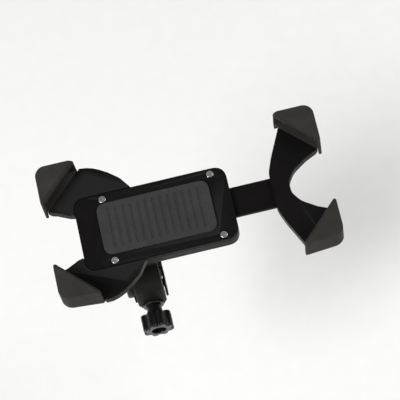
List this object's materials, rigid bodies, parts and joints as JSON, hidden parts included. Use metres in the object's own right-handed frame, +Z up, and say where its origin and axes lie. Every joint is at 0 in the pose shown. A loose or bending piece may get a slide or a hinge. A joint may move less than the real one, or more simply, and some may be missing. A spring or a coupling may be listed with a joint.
{
  "type": "phone mount",
  "caption": "Handlebar mount with four corner claws on a spring-loaded sliding tray, a swivel and a hinged ring clamp closed by a lobed knob",
  "frame": {"origin": "centre of the handlebar bore, at the middle of the clamp's width", "axes": "+X along the handlebar and the handset's long side, to the rider's right; +Y forward, away from the rider; +Z up, out of the screen"},
  "size_m": [0.144, 0.0745, 0.078],
  "materials": {
    "claw_plastic": "fine matte moulding, warm near-black",
    "body_plastic": "smooth semi-gloss black",
    "jaw_plastic": "matte black moulding",
    "knob_plastic": "glossy black",
    "liner_rubber": "ribbed rubber",
    "pad_rubber": "soft matte rubber",
    "bright_steel": "bright zinc plate",
    "black_steel": "black oxide",
    "insert_brass": "turned brass",
    "washer_nylon": "natural nylon"
  },
  "bodies": {
    "clamp": {"rear_jaw": "jaw_plastic", "rear_liner": "liner_rubber", "hinge_pin": "black_steel", "cross_pin": "black_steel", "swing_bolt": "bright_steel", "swivel_washer": "washer_nylon", "pivot_screw": "bright_steel"},
    "jaw": {"front_jaw": "jaw_plastic", "front_liner": "liner_rubber"},
    "washer": {"knob_washer": "black_steel"},
    "knob": {"knob": "knob_plastic", "knob_insert": "insert_brass"},
    "tray": {"hub_shell": "body_plastic", "hub_cover": "body_plastic", "rest_pad": "pad_rubber", "cover_screw_1": "bright_steel", "cover_screw_2": "bright_steel", "cover_screw_3": "bright_steel", "cover_screw_4": "bright_steel", "guide_rod_front": "bright_steel", "guide_rod_rear": "bright_steel", "spring_front": "bright_steel", "spring_rear": "bright_steel", "claw_front_left": "claw_plastic", "claw_rear_left": "claw_plastic", "claw_pad_front_left": "pad_rubber", "claw_pad_rear_left": "pad_rubber", "claw_screw_front_left": "black_steel", "claw_screw_rear_left": "black_steel"},
    "carriage": {"carriage": "body_plastic", "claw_front_right": "claw_plastic", "claw_rear_right": "claw_plastic", "claw_pad_front_right": "pad_rubber", "claw_pad_rear_right": "pad_rubber", "claw_screw_front_right": "black_steel", "claw_screw_rear_right": "black_steel"}
  },
  "joints": [
    {"name": "knob_travel", "type": "slide", "parent": "clamp", "child": "washer", "axis": [0, -1, 0], "range_m": [0, 0.0064]},
    {"name": "knob_turn", "type": "hinge", "parent": "washer", "child": "knob", "pos_m": [0, -0.027, -0.018], "axis": [0, -1, 0], "range_deg": [0, 2880]},
    {"name": "jaw_open", "type": "hinge", "parent": "clamp", "child": "jaw", "pos_m": [0, -0.004, 0.0172], "axis": [-1, 0, 0], "range_deg": [0, 9.1]},
    {"name": "swivel", "type": "hinge", "parent": "clamp", "child": "tray", "pos_m": [0, 0.0064, 0.0283], "axis": [0, 0, 1], "continuous": true},
    {"name": "tray_slide", "type": "slide", "parent": "tray", "child": "carriage", "axis": [1, 0, 0], "range_m": [-0.02, 0.027], "stiffness_N_per_m": 200, "springref_m": -0.04, "deforming": ["spring_front", "spring_rear"]}
  ],
  "couplings": [
    {"joint": "knob_turn", "follows": "knob_travel", "rad_per_m": 7853.9},
    {"joint": "jaw_open", "follows": "knob_travel", "rad_per_m": 24.54}
  ]
}
